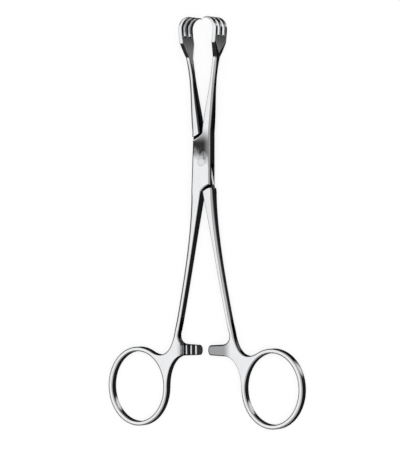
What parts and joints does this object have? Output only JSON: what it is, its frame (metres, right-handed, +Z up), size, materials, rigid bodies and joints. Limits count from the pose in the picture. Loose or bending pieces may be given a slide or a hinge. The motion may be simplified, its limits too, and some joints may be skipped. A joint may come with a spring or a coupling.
{
  "type": "goitre forceps",
  "caption": "Ring-handled box-lock forceps with fanned, inward-hooked pronged jaws and a toothed ratchet between the handles, for gripping tissue.",
  "frame": {"origin": "on the rivet's axis, at the lower face of the box lock", "axes": "+Y points from the finger rings to the jaws, +Z up out of the lock's upper face, +X to the right seen from above"},
  "size_m": [0.1072, 0.1985, 0.0114],
  "materials": {
    "box_half": "satin-polished stainless steel",
    "tongue_half": "satin-polished stainless steel",
    "lock_pin": "ground flush and satin-polished stainless steel"
  },
  "bodies": {
    "box_side": {"box_half": "box_half", "lock_pin": "lock_pin"},
    "tongue_side": {"tongue_half": "tongue_half"}
  },
  "joints": [
    {"name": "lock_pivot", "type": "hinge", "parent": "box_side", "child": "tongue_side", "pos_m": [0, 0, 0.0029], "axis": [0, 0, 1], "range_deg": [-3.9, 26]}
  ]
}
